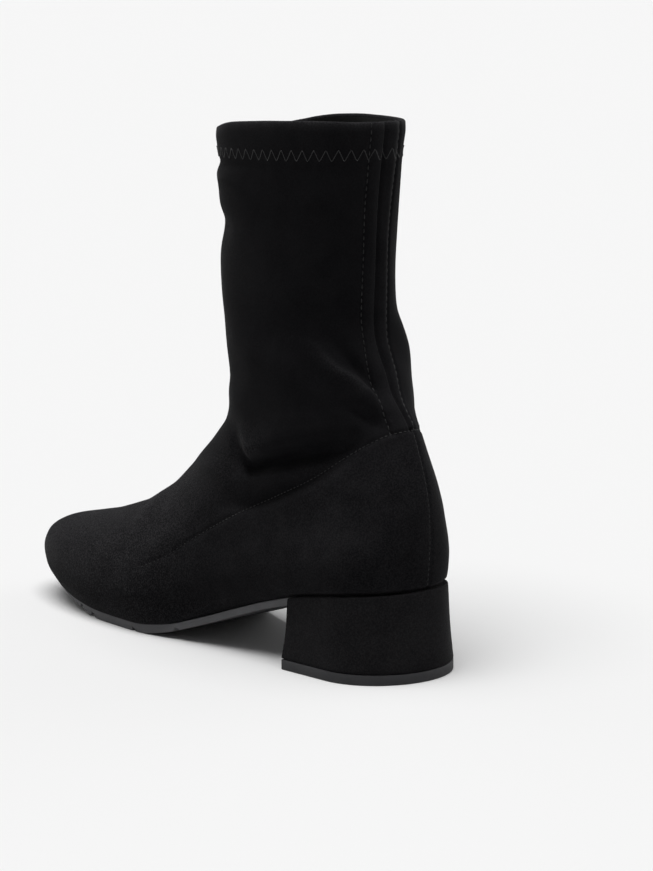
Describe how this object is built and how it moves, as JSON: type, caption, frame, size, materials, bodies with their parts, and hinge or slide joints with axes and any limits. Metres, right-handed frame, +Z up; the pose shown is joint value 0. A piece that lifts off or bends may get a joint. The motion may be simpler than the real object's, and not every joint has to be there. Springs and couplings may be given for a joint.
{
  "type": "ankle boot",
  "caption": "Left pull-on ankle boot in black stretch imitation suede, with a slack shaft, round toe, thin rubber sole and low covered block heel.",
  "frame": {"origin": "on the floor, at the middle of the boot's bounding box", "axes": "-Y towards the toe, +X towards the outer (lateral) side of the left foot, +Z up"},
  "size_m": [0.082, 0.2516, 0.2303],
  "materials": {
    "suede": "matt napped imitation suede",
    "insole_cover": "matt",
    "sole_rubber": "matt",
    "heel_cover": "plastic block covered in matt imitation suede",
    "lift_rubber": "matt"
  },
  "bodies": {
    "root": {"upper": "suede", "insole": "insole_cover", "outsole": "sole_rubber", "heel_block": "heel_cover", "heel_lift": "lift_rubber"}
  },
  "joints": []
}
